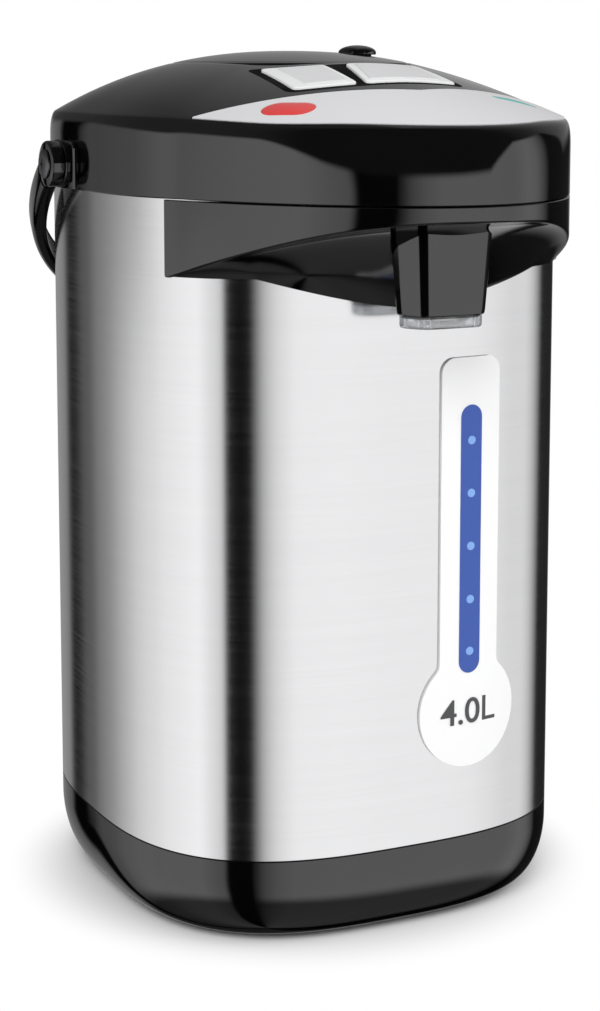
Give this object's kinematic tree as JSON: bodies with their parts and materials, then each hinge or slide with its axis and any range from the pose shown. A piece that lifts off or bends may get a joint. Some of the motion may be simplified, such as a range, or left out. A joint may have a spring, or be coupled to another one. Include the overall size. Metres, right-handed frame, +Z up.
{
  "type": "electric thermo pot",
  "caption": "Tall rounded-square thermo pot with a steel body, domed lid, beaked spout with nozzle, level gauge, two dispensing buttons and a swinging carrying bail",
  "frame": {"origin": "on the vertical axis of the steel body, in the plane that the feet stand on", "axes": "+Z up, -Y towards the spout, +X towards the side that the level gauge and the dispense button are on"},
  "size_m": [0.2142, 0.2857, 0.35],
  "materials": {
    "black_plastic": "smooth gloss moulding",
    "dark_plastic": "fine spark-eroded texture",
    "steel_sheet": "brushed round the body",
    "tank_steel": "satin, drawn",
    "zinc_steel": "zinc plated",
    "spring_steel": "drawn wire",
    "screw_steel": "blackened",
    "rubber_foot": "matt",
    "brass": "turned",
    "clear_plastic": "clear moulding",
    "tube_plastic": "clear tube",
    "white_plastic": "satin, printed panel",
    "label_film": "satin film",
    "red_lens": "clear tinted lens",
    "teal_lens": "clear tinted lens",
    "blue_window": "tinted strip",
    "silicone": "matt silicone",
    "frame_metal": "galvanised",
    "cast_alloy": "as cast",
    "ceramic": "matt",
    "motor_metal": "plated can",
    "pump_plastic": "natural moulding",
    "rotor_iron": "laminated",
    "circuit_board": "solder resist",
    "led_plastic": "clear epoxy"
  },
  "bodies": {
    "housing": {"base_housing": "black_plastic", "base_cover": "dark_plastic", "rubber_feet": "rubber_foot", "base_screws": "zinc_steel", "power_inlet": "dark_plastic", "inlet_pins": "brass", "body_shell": "steel_sheet", "upper_housing": "black_plastic", "filling_neck": "black_plastic", "spout_hood": "black_plastic", "spout_nozzle": "black_plastic", "outlet_tip": "clear_plastic", "control_label": "label_film", "boil_lamp_lens": "red_lens", "warm_lamp_lens": "teal_lens", "gauge_panel": "white_plastic", "gauge_window": "blue_window", "level_tube": "tube_plastic", "tank_support": "frame_metal", "inner_tank": "tank_steel", "tank_seal": "silicone", "tie_rods": "zinc_steel", "heater_plate": "cast_alloy", "thermostats": "ceramic", "thermal_fuse": "ceramic", "pump_motor": "motor_metal", "pump_housing": "pump_plastic", "inlet_hose": "silicone", "riser_hose": "silicone", "outlet_hose": "silicone", "hose_clips": "spring_steel", "control_board": "circuit_board", "button_switches": "dark_plastic", "indicator_leds": "led_plastic", "board_screws": "zinc_steel", "unlock_spring": "spring_steel", "dispense_spring": "spring_steel", "hinge_bracket": "black_plastic", "hinge_pin": "zinc_steel", "handle_pivots": "black_plastic", "pivot_screws": "screw_steel"},
    "rotor": {"motor_rotor": "rotor_iron", "pump_impeller": "pump_plastic"},
    "unlock": {"unlock_button": "white_plastic"},
    "dispense": {"dispense_button": "white_plastic"},
    "lid": {"lid_cover": "black_plastic", "lid_liner": "dark_plastic", "inner_lid_plate": "tank_steel", "lid_gasket": "silicone", "steam_vent_cap": "black_plastic", "lid_hinge_arm": "black_plastic"},
    "handle": {"handle_bail": "black_plastic", "handle_hubs": "black_plastic"}
  },
  "joints": [
    {"name": "rotor_spin", "type": "hinge", "parent": "housing", "child": "rotor", "pos_m": [0, -0.058, 0.02], "axis": [0, 0, 1], "continuous": true},
    {"name": "unlock_press", "type": "slide", "parent": "housing", "child": "unlock", "axis": [0, 0, -1], "range_m": [0, 0.002], "stiffness_N_per_m": 300, "springref_m": -0.002, "deforming": ["unlock_spring"]},
    {"name": "dispense_press", "type": "slide", "parent": "housing", "child": "dispense", "axis": [0, 0, -1], "range_m": [0, 0.002], "stiffness_N_per_m": 300, "springref_m": -0.002, "deforming": ["dispense_spring"]},
    {"name": "lid_hinge", "type": "hinge", "parent": "housing", "child": "lid", "pos_m": [0, 0.084, 0.331], "axis": [-1, 0, 0], "range_deg": [0, 95]},
    {"name": "bail_swing", "type": "hinge", "parent": "housing", "child": "handle", "pos_m": [0, 0.018, 0.302], "axis": [1, 0, 0], "range_deg": [0, 150]}
  ]
}
